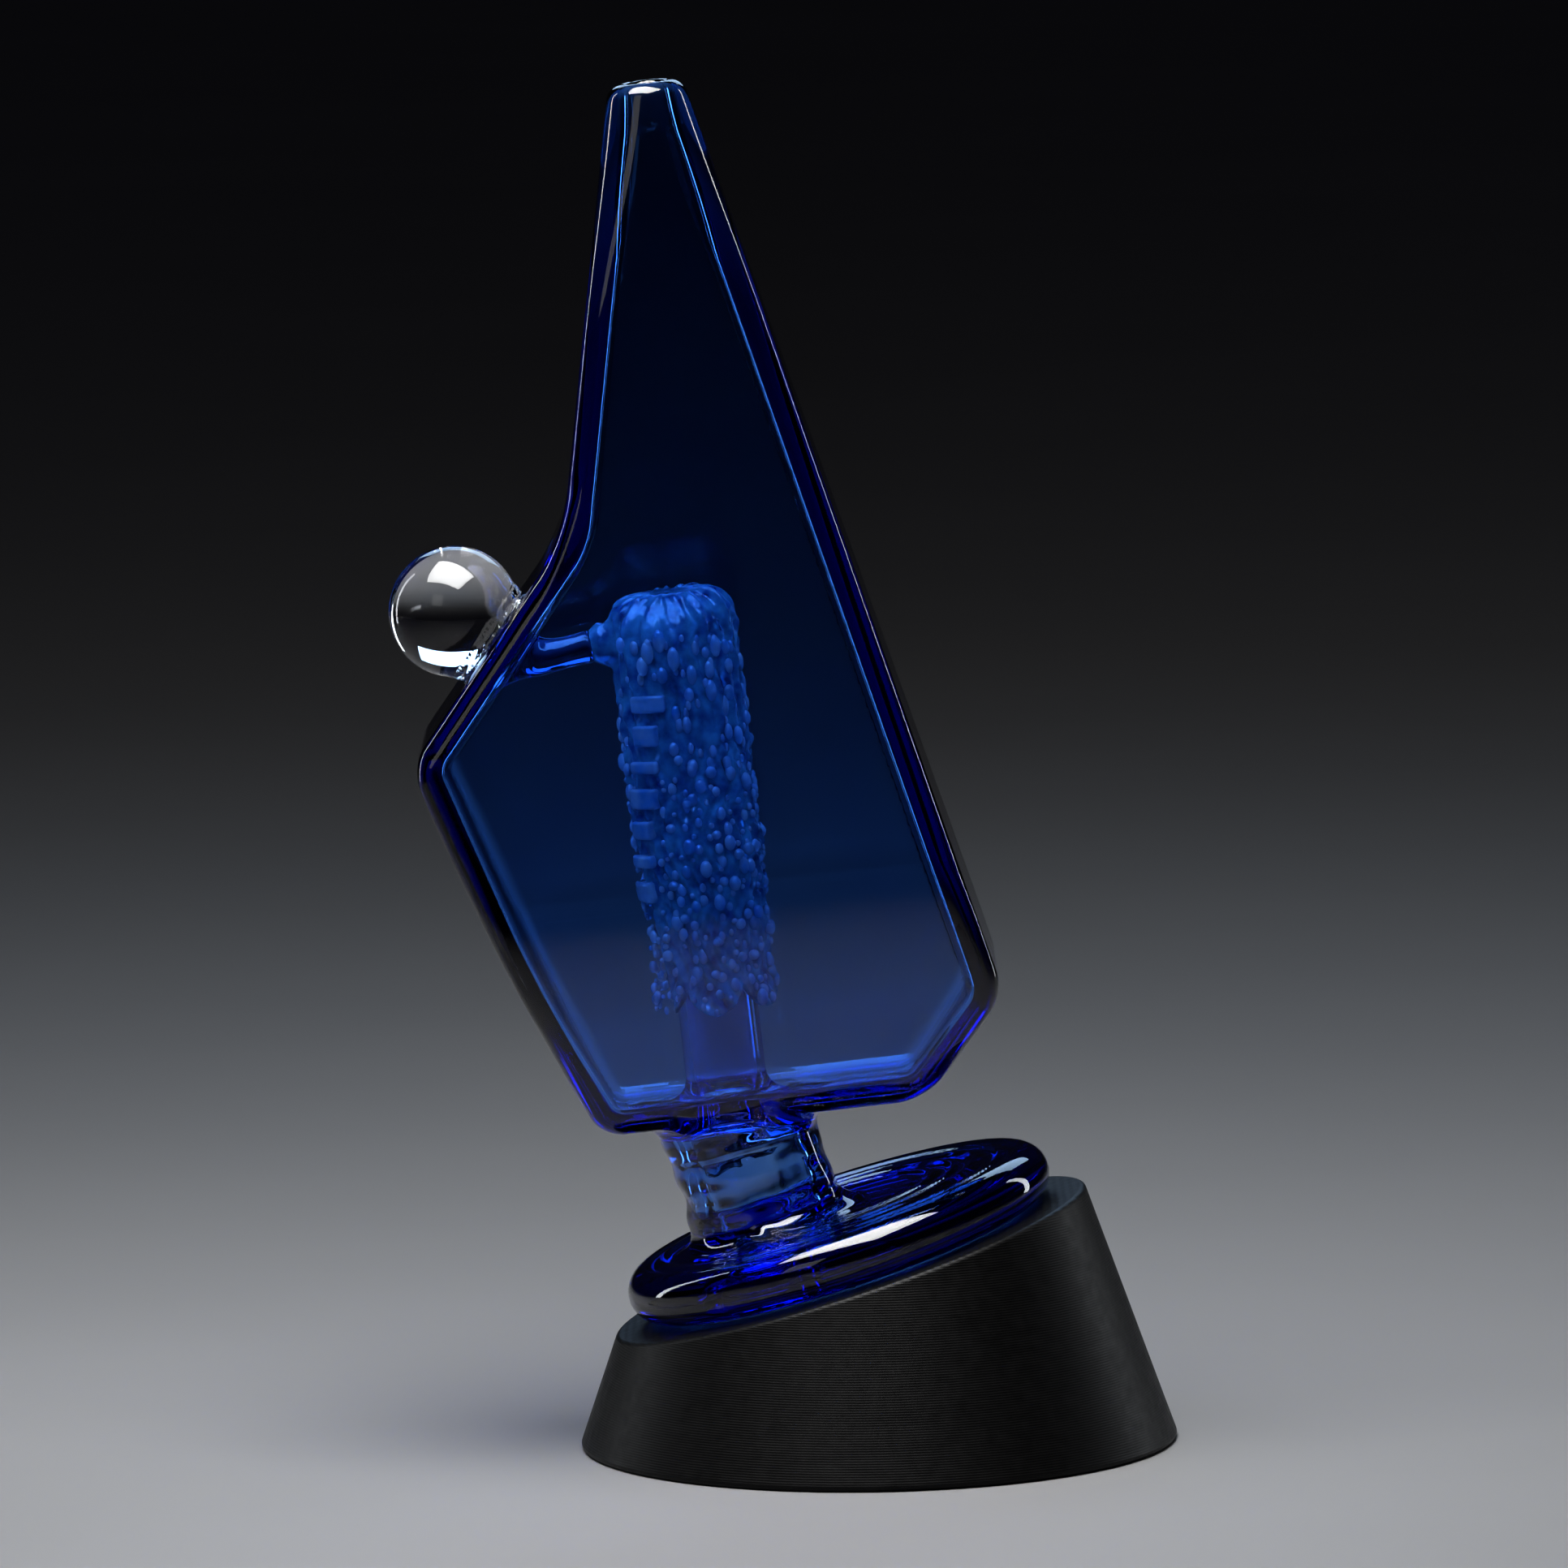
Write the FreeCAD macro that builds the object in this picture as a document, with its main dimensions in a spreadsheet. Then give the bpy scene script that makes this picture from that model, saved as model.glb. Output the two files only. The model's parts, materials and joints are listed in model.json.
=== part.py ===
"""Glass water bubbler attachment on its tilted display stand. Millimetres and degrees.

Frame: the origin is the centre of the stand's underside, +Z is up, +X points to the high side
of the stand's deck and +Y to the back. The glass is symmetric about the plane Y = 0.

Four frames hang from it, each turned about Y only:
  deck      on the stand's deck, Z along the deck's normal
  foot      on the seat ring's top, where the glass foot rests
  neck      on the foot's top face, round the neck's own axis
  flask     where the neck's axis meets the underside of the glass body
"""
import FreeCAD, Part
import math
import os
import re

import Sketcher
from FreeCAD import Placement, Rotation, Vector

DIMENSIONS = {
    # stand
    "stand_base_radius": 35.1,
    "stand_draft": 19.3,
    "stand_blank_height": 45.0,
    "stand_wall": 2.4,
    "stand_floor": 2.4,
    "stand_edge_round": 0.6,
    "deck_tilt": 17.0,
    "deck_height": 22.5,
    "deck_thickness": 3.2,
    # seat ring and its groove
    "ring_inner_radius": 16.2,
    "ring_outer_radius": 22.0,
    "ring_thickness": 1.1,
    "ring_edge_round": 0.3,
    "groove_depth": 0.8,
    "groove_clearance": 0.3,
    # foot
    "foot_shift": 3.4,
    "foot_radius": 25.75,
    "foot_thickness": 6.4,
    "foot_rim_round": 3.15,
    "inlet_radius": 5.0,
    # neck
    "neck_shift": 7.2,
    "neck_length": 14.0,
    "neck_radius": 9.6,
    "neck_waist_radius": 9.2,
    "neck_bore_radius": 6.8,
    "foot_weld_radius": 11.8,
    "foot_weld_height": 2.2,
    "foot_weld_swell": 0.6,
    "neck_weld_radius": 11.0,
    "neck_weld_height": 3.4,
    "neck_weld_swell": 0.4,
    "neck_weld_above": 3.0,
    # flask outline, in the flask frame
    "flask_lean": 5.5,
    "flask_wall": 2.8,
    "floor_left": -15.5,
    "floor_right": 22.5,
    "left_break_x": -23.4,
    "left_break_z": 18.0,
    "right_break_x": 33.0,
    "right_break_z": 11.9,
    "shoulder_x": -32.3,
    "shoulder_z": 46.0,
    "bend_x": -11.7,
    "bend_z": 70.0,
    "tip_left": -0.9,
    "tip_right": 8.6,
    "tip_height": 119.0,
    "corner_round": 2.8,
    "edge_round": 2.6,
    "inner_round": 1.0,
    # flask depth, front to back
    "tip_depth": 9.5,
    "girdle_depth": 35.0,
    "girdle_height": 20.0,
    "floor_depth": 20.0,
    "girdle_round": 6.0,
    # mouth
    "lip_radius": 4.75,
    "mouth_radius": 2.1,
    "lip_height": 1.9,
    "lip_round": 0.9,
    # uptake tube
    "uptake_shift": -0.4,
    "uptake_radius": 4.7,
    "uptake_bore_radius": 3.7,
    "uptake_top": 54.0,
    "uptake_weld_radius": 7.2,
    "uptake_weld_height": 2.6,
    "uptake_weld_swell": 0.7,
    # percolator
    "sleeve_radius": 7.2,
    "sleeve_bore_radius": 5.9,
    "sleeve_bottom": 21.5,
    "sleeve_top": 56.2,
    "dome_height": 5.5,
    "dome_round": 3.6,
    "dome_thickness": 1.4,
    "skirt_bottom": 12.8,
    "skirt_radius": 7.5,
    "scallop_radius": 1.7,
    "scallops": 6,
    "bead_radius": 0.9,
    "bead_rows": 14,
    "beads_per_row": 12,
    "bead_sink": 0.25,
    "bead_clearance": 0.4,
    "rung_count": 7,
    "rung_width": 4.2,
    "rung_height": 2.3,
    "rung_proud": 0.8,
    "rung_angle": 31.0,
    "rung_twist": 1.6,
    "rung_top": 48.3,
    "rung_pitch": 3.7,
    # brace
    "brace_x": -20.2,
    "brace_z": 55.2,
    "brace_rise": 6.3,
    "brace_radius": 1.95,
    "pad_radius": 5.2,
    "pad_length": 4.4,
    "pad_reach": 6.0,
    "rod_end": 10.2,
    "knuckle_radius": 3.0,
    "knuckle_length": 6.0,
    # marble
    "marble_radius": 7.65,
    "marble_along": 14.8,
    "marble_rise": 5.35,
    "marble_weld_height": 0.7,
    "marble_weld_radius": 7.0,
    "marble_seam_radius": 6.1,
    # room for cutting shapes
    "waste": 80.0,
    "overrun": 10.0,
}

doc = FreeCAD.newDocument("bubbler")
sheet = doc.addObject("Spreadsheet::Sheet", "params")
for row, (alias, value) in enumerate(DIMENSIONS.items(), start=1):
    sheet.set(f"A{row}", alias)
    sheet.set(f"B{row}", str(value))
    sheet.setAlias(f"B{row}", alias)
doc.recompute()

UP = Vector(0, 0, 1)
ALONG = Vector(1, 0, 0)
ACROSS = Vector(0, 1, 0)
NEAR = 0.6  # how far a rounded face may stand from the plane that it rounds
parts = []


def size(alias):
    """A driving dimension as a number."""
    return float(sheet.get(alias))


def cells(text):
    """An expression on sheet aliases, with each alias written as params.alias."""
    def full_name(found):
        word = found.group()
        return f"params.{word}" if word in DIMENSIONS else word
    return re.sub(r"[a-z_]+", full_name, text)


def worked_out(text):
    """The value of such an expression, as the sheet works it out."""
    value = sheet.evalExpression(cells(text))
    return float(getattr(value, "Value", value))


def bind(thing, **sizes):
    """Binds the named properties to expressions on the sheet."""
    for name, text in sizes.items():
        thing.setExpression(name, cells(text))
    return thing


def keep(thing, label, frame):
    """Names a finished sub-part and puts it in its place."""
    thing.Label = label
    thing.Placement = frame
    parts.append(thing)
    return thing


# ---------------------------------------------------------------- frames

def turned(angle, base=Vector(0, 0, 0)):
    """A frame at base, turned about Y."""
    return Placement(base, Rotation(ACROSS, angle))


deck_frame = turned(-size("deck_tilt"), Vector(0, 0, size("deck_height")))
deck_frame = deck_frame * Placement(Vector(-size("foot_shift"), 0, 0), Rotation())
ring_frame = deck_frame * Placement(UP * -size("groove_depth"), Rotation())
foot_frame = ring_frame * Placement(UP * size("ring_thickness"), Rotation())
neck_base = Vector(-size("neck_shift"), 0, size("foot_thickness"))
neck_frame = foot_frame * Placement(neck_base, Rotation())
flask_origin = neck_frame.multVec(UP * size("neck_length"))
flask_frame = turned(-size("flask_lean"), flask_origin)
uptake_frame = flask_frame * Placement(Vector(size("uptake_shift"), 0, 0), Rotation())

bend = Vector(size("bend_x"), 0, size("bend_z"))
shoulder = Vector(size("shoulder_x"), 0, size("shoulder_z"))
shoulder_run = bend - shoulder
shoulder_angle = -math.degrees(math.atan2(shoulder_run.z, shoulder_run.x))
shoulder_frame = turned(shoulder_angle, bend)
brace_frame = turned(90 - size("brace_rise"), Vector(size("brace_x"), 0, size("brace_z")))


# ---------------------------------------------------------------- makers

def plane_of(body, role):
    """One of a body's own origin planes."""
    return next(f for f in body.Origin.OriginFeatures if f.Role == role)


def sketch_on(body, role, name):
    sketch = body.newObject("Sketcher::SketchObject", name)
    sketch.AttachmentSupport = (plane_of(body, role), [""])
    sketch.MapMode = "FlatFace"
    return sketch


def pin_down(sketch, direction, line, text):
    """Holds the start of a line at a distance from the sketch's origin."""
    value = worked_out(text)
    index = sketch.addConstraint(Sketcher.Constraint(direction, -1, 1, line, 1, value))
    sketch.setExpression(f"Constraints[{index}]", cells(text))


def outline(sketch, corners):
    """A closed outline of straight lines. Each corner is a pair of expressions."""
    points = [Vector(worked_out(x), worked_out(y), 0) for x, y in corners]
    first = sketch.GeometryCount
    count = len(points)
    for i in range(count):
        sketch.addGeometry(Part.LineSegment(points[i], points[(i + 1) % count]), False)
    for i in range(count):
        following = first + (i + 1) % count
        sketch.addConstraint(Sketcher.Constraint("Coincident", first + i, 2, following, 1))
    for i, (x, y) in enumerate(corners):
        pin_down(sketch, "DistanceX", first + i, x)
        pin_down(sketch, "DistanceY", first + i, y)


def ring_outline(sketch, x, radius):
    """A circle centred on the sketch's horizontal axis."""
    centre = Vector(worked_out(x), 0, 0)
    circle = sketch.addGeometry(Part.Circle(centre, UP, worked_out(radius)), False)
    held = sketch.addConstraint(Sketcher.Constraint("Radius", circle, worked_out(radius)))
    sketch.setExpression(f"Constraints[{held}]", cells(radius))
    across = Sketcher.Constraint("DistanceX", -1, 1, circle, 3, worked_out(x))
    sketch.setExpression(f"Constraints[{sketch.addConstraint(across)}]", cells(x))
    sketch.addConstraint(Sketcher.Constraint("DistanceY", -1, 1, circle, 3, 0.0))


def turned_body(name, corners):
    """A body with one outline in its XZ plane, turned about Z."""
    body = doc.addObject("PartDesign::Body", name)
    sketch = sketch_on(body, "XZ_Plane", name + "_outline")
    outline(sketch, corners)
    turn = body.newObject("PartDesign::Revolution", name + "_turn")
    turn.Profile = sketch
    turn.ReferenceAxis = (sketch, ["V_Axis"])
    turn.Angle = 360
    doc.recompute()
    return body


def cut_through(body, sketch, name, length=None):
    """A pocket to both sides of its sketch, through the whole body or of a set length."""
    before = body.Shape.Volume
    pocket = body.newObject("PartDesign::Pocket", name)
    pocket.Profile = sketch
    pocket.SideType = "Symmetric"
    pocket.Type = "Length" if length else "ThroughAll"
    if length:
        bind(pocket, Length=length)
    doc.recompute()
    if not body.Shape.Volume < before:
        raise RuntimeError(f"{name} cut nothing")
    return pocket


def edges_where(shape, test):
    """The names of the edges that pass the test."""
    return [f"Edge{i}" for i, edge in enumerate(shape.Edges, start=1) if test(edge)]


def round_body(body, name, radius, test):
    """Rounds the edges of a body's tip that pass the test."""
    base = body.Tip
    rounded = body.newObject("PartDesign::Fillet", name)
    rounded.Base = (base, edges_where(base.Shape, test))
    bind(rounded, Radius=radius)
    doc.recompute()
    return rounded


def is_ring(edge, radius, height):
    """Whether an edge is the full circle of that radius at that height."""
    curve = edge.Curve
    if not hasattr(curve, "Radius"):
        return False
    same_radius = abs(curve.Radius - size(radius)) < 0.01
    return same_radius and abs(edge.BoundBox.ZMin - height) < 0.01


def primitive(kind, name, frame=None, **sizes):
    """A Part primitive with its sizes bound to the sheet."""
    thing = bind(doc.addObject(f"Part::{kind}", name), **sizes)
    if frame is not None:
        thing.Placement = frame
    return thing


def cut(name, base, tool):
    piece = doc.addObject("Part::Cut", name)
    piece.Base = base
    piece.Tool = tool
    doc.recompute()
    return piece


def half_space(name, frame):
    """A block that fills the upper side of a frame's XY plane."""
    half = size("waste") / 2
    corner = frame * Placement(Vector(-half, -half, 0), Rotation())
    return primitive("Box", name, corner, Length="waste", Width="waste", Height="waste")


def round_edges(name, base, radius, test):
    """A Part fillet on the edges of a Part object that pass the test."""
    doc.recompute()
    numbers = [i for i, edge in enumerate(base.Shape.Edges, start=1) if test(edge)]
    rounded = doc.addObject("Part::Fillet", name)
    rounded.Base = base
    rounded.Edges = [(number, radius, radius) for number in numbers]
    doc.recompute()
    return rounded


# ---------------------------------------------------------------- stand

def cone_cut_by_deck(name, base_radius, height, lift, frame):
    """A cone on the floor at that lift, with everything above a tilted plane taken off."""
    top_radius = f"{base_radius} - ({height}) * tan(stand_draft * 1deg)"
    cone = primitive(
        "Cone", name + "_cone", Placement(UP * lift, Rotation()),
        Radius1=base_radius, Radius2=top_radius, Height=height,
    )
    return cut(name, cone, half_space(name + "_waste", frame))


def make_stand_body():
    outer = cone_cut_by_deck(
        "stand_outside", "stand_base_radius", "stand_blank_height", 0, deck_frame
    )
    inner_radius = "stand_base_radius - stand_wall / cos(stand_draft * 1deg)"
    inner_radius += " - stand_floor * tan(stand_draft * 1deg)"
    ceiling = deck_frame * Placement(UP * -size("deck_thickness"), Rotation())
    inner = cone_cut_by_deck(
        "stand_inside", inner_radius, "stand_blank_height - stand_floor",
        size("stand_floor"), ceiling,
    )
    rounded = round_edges(
        "stand_rounded", outer, size("stand_edge_round"), lambda edge: len(edge.Vertexes) == 1
    )
    hollow = cut("stand_hollow", rounded, inner)
    groove_outer = primitive(
        "Cylinder", "groove_outer", ring_frame,
        Radius="ring_outer_radius + groove_clearance", Height="groove_depth * 2",
    )
    groove_inner = primitive(
        "Cylinder", "groove_inner", ring_frame,
        Radius="ring_inner_radius - groove_clearance", Height="groove_depth * 2",
    )
    groove = cut("groove", groove_outer, groove_inner)
    keep(cut("stand_grooved", hollow, groove), "stand_body", Placement())


def make_seat_ring():
    body = turned_body("SeatRing", [
        ("ring_inner_radius", "0"),
        ("ring_outer_radius", "0"),
        ("ring_outer_radius", "ring_thickness"),
        ("ring_inner_radius", "ring_thickness"),
    ])
    top = size("ring_thickness")
    round_body(
        body, "ring_rounded", "ring_edge_round",
        lambda edge: is_ring(edge, "ring_outer_radius", top)
        or is_ring(edge, "ring_inner_radius", top),
    )
    keep(body, "seat_ring", ring_frame)


# ---------------------------------------------------------------- foot and neck

def make_foot_disc():
    body = turned_body("FootDisc", [
        ("0", "0"),
        ("foot_radius", "0"),
        ("foot_radius", "foot_thickness"),
        ("0", "foot_thickness"),
    ])
    round_body(
        body, "foot_rim", "foot_rim_round",
        lambda edge: is_ring(edge, "foot_radius", 0)
        or is_ring(edge, "foot_radius", size("foot_thickness")),
    )
    inlet = sketch_on(body, "XY_Plane", "inlet_outline")
    ring_outline(inlet, "-neck_shift", "inlet_radius")
    cut_through(body, inlet, "inlet")
    keep(body, "foot_disc", foot_frame)


def make_foot_weld():
    body = turned_body("FootWeld", [
        ("neck_bore_radius", "0"),
        ("foot_weld_radius", "0"),
        ("neck_radius + foot_weld_swell", "foot_weld_height / 2"),
        ("neck_radius", "foot_weld_height"),
        ("neck_bore_radius", "foot_weld_height"),
    ])
    keep(body, "foot_weld", neck_frame)


def make_neck_tube():
    top = "neck_length - neck_weld_height"
    body = turned_body("NeckTube", [
        ("neck_bore_radius", "foot_weld_height"),
        ("neck_radius", "foot_weld_height"),
        ("neck_waist_radius", "neck_length / 2"),
        ("neck_radius", top),
        ("neck_bore_radius", top),
    ])
    keep(body, "neck_tube", neck_frame)


def make_neck_weld():
    """Flared, and cut off along the underside of the flask."""
    start = "neck_length - neck_weld_height"
    body = turned_body("NeckWeld", [
        ("neck_bore_radius", start),
        ("neck_radius", start),
        ("neck_radius + neck_weld_swell", "neck_length - neck_weld_height / 3"),
        ("neck_weld_radius", "neck_length + neck_weld_above"),
        ("neck_bore_radius", "neck_length + neck_weld_above"),
    ])
    fall = "waste * tan((deck_tilt - flask_lean) * 1deg)"
    above = sketch_on(body, "XZ_Plane", "flask_side")
    outline(above, [
        ("-waste", f"neck_length + {fall}"),
        ("waste", f"neck_length - {fall}"),
        ("waste", "waste"),
        ("-waste", "waste"),
    ])
    cut_through(body, above, "flask_seat")
    keep(body, "neck_weld", neck_frame)


# ---------------------------------------------------------------- flask

def half_depth(height):
    """Half of the flask's outside depth at a height above its floor."""
    girdle = size("girdle_height")
    widest = size("girdle_depth") / 2
    if height < girdle:
        floor = size("floor_depth") / 2
        return floor + (widest - floor) * height / girdle
    tip = size("tip_depth") / 2
    return widest - (widest - tip) * (height - girdle) / (size("tip_height") - girdle)


def runs_along(edge, axis):
    """Whether a straight edge runs along that axis."""
    ends = [vertex.Point for vertex in edge.Vertexes]
    if len(ends) < 2:
        return False
    run = ends[1] - ends[0]
    return abs(abs(run.dot(axis)) - run.Length) < 1e-6


def middle(edge):
    return edge.valueAt((edge.FirstParameter + edge.LastParameter) / 2)


def at_tip(edge):
    """Whether an edge lies in the flask's open end."""
    return edge.BoundBox.ZMin > size("tip_height") - 0.1


def ends_outside(edge):
    """Whether all of an edge's ends lie on the flask's outer front or back."""
    ends = [vertex.Point for vertex in edge.Vertexes]
    return all(abs(abs(end.y) - half_depth(end.z)) < 0.02 for end in ends)


def is_outer_corner(edge):
    return runs_along(edge, ACROSS) and ends_outside(edge) and not at_tip(edge)


def is_inner_corner(edge):
    above_floor = edge.BoundBox.ZMin > size("flask_wall") + 0.1
    return runs_along(edge, ACROSS) and not ends_outside(edge) and above_floor and not at_tip(edge)


def is_girdle(edge):
    """The crease across the front or the back, where the flask is deepest."""
    at_girdle = abs(middle(edge).z - size("girdle_height")) < 0.05
    outside = abs(abs(middle(edge).y) - size("girdle_depth") / 2) < 0.05
    return runs_along(edge, ALONG) and at_girdle and outside


def is_rim(edge):
    """An edge between the flask's outline wall and its outer front or back."""
    point = middle(edge)
    near_face = abs(abs(point.y) - half_depth(point.z)) < NEAR
    crease = runs_along(edge, ALONG) and point.z > NEAR
    return near_face and not crease and not runs_along(edge, ACROSS) and not at_tip(edge)


def plane_off(body, side, name):
    """Planes the slab's front (side -1) or back (side 1) to the side profile.

    The profile runs on past the slab at both ends, and past its full depth.
    """
    slope = "(girdle_depth - tip_depth) / 2 / (tip_height - girdle_height)"
    flare = "(girdle_depth - floor_depth) / 2 / girdle_height"
    profile = sketch_on(body, "YZ_Plane", f"{name}_profile")
    outline(profile, [
        (f"{side} * (floor_depth / 2 - overrun * {flare})", "-overrun"),
        (f"{side} * girdle_depth / 2", "girdle_height"),
        (f"{side} * (tip_depth / 2 - overrun * {slope})", "tip_height + overrun"),
        (f"{side} * girdle_depth", "tip_height + overrun"),
        (f"{side} * girdle_depth", "-overrun"),
    ])
    cut_through(body, profile, f"{name}_plane")


def make_body_shell():
    """A slab of the flask's outline, planed front and back, hollowed from the tip, rounded."""
    body = doc.addObject("PartDesign::Body", "BodyShell")
    face = sketch_on(body, "XZ_Plane", "flask_outline")
    outline(face, [
        ("floor_left", "0"),
        ("floor_right", "0"),
        ("right_break_x", "right_break_z"),
        ("tip_right", "tip_height"),
        ("tip_left", "tip_height"),
        ("bend_x", "bend_z"),
        ("shoulder_x", "shoulder_z"),
        ("left_break_x", "left_break_z"),
    ])
    slab = body.newObject("PartDesign::Pad", "flask_slab")
    slab.Profile = face
    slab.SideType = "Symmetric"
    bind(slab, Length="girdle_depth * 1.2")
    doc.recompute()
    plane_off(body, 1, "back")
    plane_off(body, -1, "front")
    planed = body.Tip
    open_end = [f"Face{i}" for i, surface in enumerate(planed.Shape.Faces, start=1)
                if surface.CenterOfMass.z > size("tip_height") - 0.01]
    hollow = body.newObject("PartDesign::Thickness", "flask_hollow")
    hollow.Base = (planed, open_end)
    hollow.Join = "Intersection"
    hollow.Reversed = True
    bind(hollow, Value="flask_wall")
    doc.recompute()
    round_body(body, "outer_corners", "corner_round", is_outer_corner)
    round_body(body, "inner_corners", "inner_round", is_inner_corner)
    round_body(body, "girdle_crease", "girdle_round", is_girdle)
    round_body(body, "outer_rim", "edge_round", is_rim)
    hole = sketch_on(body, "XY_Plane", "floor_hole_outline")
    ring_outline(hole, "uptake_shift", "uptake_radius")
    cut_through(body, hole, "floor_hole", "flask_wall * 4")
    keep(body, "body_shell", flask_frame)


def make_mouth_lip():
    body = turned_body("MouthLip", [
        ("mouth_radius", "0"),
        ("lip_radius", "0"),
        ("lip_radius", "lip_height"),
        ("mouth_radius", "lip_height"),
    ])
    top = size("lip_height")
    round_body(
        body, "lip_rounded", "lip_round",
        lambda edge: is_ring(edge, "lip_radius", top) or is_ring(edge, "mouth_radius", top),
    )
    mouth_x = (size("tip_left") + size("tip_right")) / 2
    on_tip = Placement(Vector(mouth_x, 0, size("tip_height")), Rotation())
    keep(body, "mouth_lip", flask_frame * on_tip)


# ---------------------------------------------------------------- uptake and percolator

def tube(inner, outer, bottom, top):
    """The outline of a plain tube."""
    return [(inner, bottom), (outer, bottom), (outer, top), (inner, top)]


def make_uptake_tube():
    walls = tube("uptake_bore_radius", "uptake_radius", "0", "uptake_top")
    keep(turned_body("UptakeTube", walls), "uptake_tube", uptake_frame)


def make_uptake_weld():
    body = turned_body("UptakeWeld", [
        ("uptake_radius", "flask_wall"),
        ("uptake_weld_radius", "flask_wall"),
        ("uptake_radius + uptake_weld_swell", "flask_wall + uptake_weld_height / 2"),
        ("uptake_radius", "flask_wall + uptake_weld_height"),
    ])
    keep(body, "uptake_weld", uptake_frame)


def make_percolator_sleeve():
    walls = tube("sleeve_bore_radius", "sleeve_radius", "sleeve_bottom", "sleeve_top")
    keep(turned_body("PercolatorSleeve", walls), "percolator_sleeve", uptake_frame)


def make_percolator_dome():
    outer_top = "sleeve_top + dome_height"
    inner_top = "sleeve_top + dome_height - dome_thickness"
    body = turned_body("PercolatorDome", [
        ("sleeve_bore_radius", "sleeve_top"),
        ("sleeve_radius", "sleeve_top"),
        ("sleeve_radius", outer_top),
        ("0", outer_top),
        ("0", inner_top),
        ("sleeve_bore_radius", inner_top),
    ])
    round_body(
        body, "dome_outside", "dome_round",
        lambda edge: is_ring(edge, "sleeve_radius", worked_out(outer_top)),
    )
    round_body(
        body, "dome_inside", "dome_round - dome_thickness",
        lambda edge: is_ring(edge, "sleeve_bore_radius", worked_out(inner_top)),
    )
    keep(body, "percolator_dome", uptake_frame)


def make_percolator_skirt():
    """The lower end of the sleeve, with scallops cut up into its edge."""
    walls = tube("sleeve_bore_radius", "skirt_radius", "skirt_bottom", "sleeve_bottom")
    body = turned_body("PercolatorSkirt", walls)
    before = body.Shape.Volume
    scallop = sketch_on(body, "XZ_Plane", "scallop_outline")
    radius = size("scallop_radius")
    centre = Vector(0, size("skirt_bottom"), 0)
    scallop.addGeometry(Part.Circle(centre, UP, radius), False)
    held = scallop.addConstraint(Sketcher.Constraint("Radius", 0, radius))
    scallop.setExpression(f"Constraints[{held}]", cells("scallop_radius"))
    pin_down_centre(scallop, "skirt_bottom")
    pocket = body.newObject("PartDesign::Pocket", "scallop")
    pocket.Profile = scallop
    pocket.Type = "ThroughAll"
    doc.recompute()
    pattern = body.newObject("PartDesign::PolarPattern", "scallop_ring")
    pattern.Originals = [pocket]
    pattern.Axis = (scallop, ["V_Axis"])
    pattern.Angle = 360
    bind(pattern, Occurrences="scallops")
    body.Tip = pattern
    doc.recompute()
    if not body.Shape.Volume < before:
        raise RuntimeError("the scallops cut nothing")
    keep(body, "percolator_skirt", uptake_frame)


def pin_down_centre(sketch, height):
    """Holds a sketch's first circle on its vertical axis at a height."""
    sketch.addConstraint(Sketcher.Constraint("PointOnObject", 0, 3, -2))
    up = Sketcher.Constraint("DistanceY", -1, 1, 0, 3, worked_out(height))
    sketch.setExpression(f"Constraints[{sketch.addConstraint(up)}]", cells(height))


def on_sleeve(angle, height):
    """A frame on the sleeve's skin: X outward, Z up. The angle turns from the front to -X."""
    around = Placement(UP * height, Rotation(UP, -90 - angle))
    return around * Placement(Vector(size("sleeve_radius"), 0, 0), Rotation())


def group_of(solids, label):
    """One node that holds several separate solids."""
    group = doc.addObject("Part::Feature", label)
    group.Shape = Part.makeCompound(solids)
    keep(group, label, uptake_frame)


def sleeve_core():
    return Part.makeCylinder(size("sleeve_radius"), size("waste"))


def rung_angle(height):
    """Where the ladder is at a height: it winds towards the left side going down."""
    return size("rung_angle") + size("rung_twist") * (size("rung_top") - height)


def make_percolator_rungs():
    """A ladder of flat blocks of glass that winds down the sleeve's left front."""
    width = size("rung_width")
    height = size("rung_height")
    depth = size("sleeve_radius") / 2
    solids = []
    for i in range(int(size("rung_count"))):
        corner = Vector(size("rung_proud") - depth, -width / 2, 0)
        block = Part.makeBox(depth, width, height, corner)
        level = size("rung_top") - i * size("rung_pitch")
        block.Placement = on_sleeve(rung_angle(level), level)
        solids.append(block.cut(sleeve_core()).Solids[0])
    group_of(solids, "percolator_rungs")


def bead_is_free(angle, height):
    """Whether a bead there is clear of the rungs and of the brace's knuckle."""
    radius = size("sleeve_radius")
    room = size("bead_radius") + size("bead_clearance")
    from_rungs = math.radians(abs(angle - rung_angle(height))) * radius
    from_brace = math.radians(abs(angle - 90)) * radius
    brace_height = size("brace_z") + math.tan(math.radians(size("brace_rise"))) * (
        size("uptake_shift") - radius - size("brace_x")
    )
    by_rungs = from_rungs < size("rung_width") / 2 + room
    by_brace = math.hypot(from_brace, height - brace_height) < size("knuckle_radius") + room
    return not by_rungs and not by_brace


def make_percolator_beads():
    """Seed beads fused to the sleeve in staggered rows."""
    bead = size("bead_radius")
    room = bead + size("bead_clearance")
    rows = int(size("bead_rows"))
    count = int(size("beads_per_row"))
    lowest = size("sleeve_bottom") + room
    pitch = (size("sleeve_top") - room - lowest) / (rows - 1)
    sunk = Vector(-size("bead_sink"), 0, 0)
    solids = []
    for row in range(rows):
        for i in range(count):
            angle = 360 / count * (i + row % 2 / 2) % 360 - 180
            height = lowest + row * pitch
            if not bead_is_free(angle, height):
                continue
            ball = Part.makeSphere(bead)
            ball.Placement = on_sleeve(angle, height) * Placement(sunk, Rotation())
            solids.append(ball.cut(sleeve_core()).Solids[0])
    group_of(solids, "percolator_beads")


# ---------------------------------------------------------------- brace and marble

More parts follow.
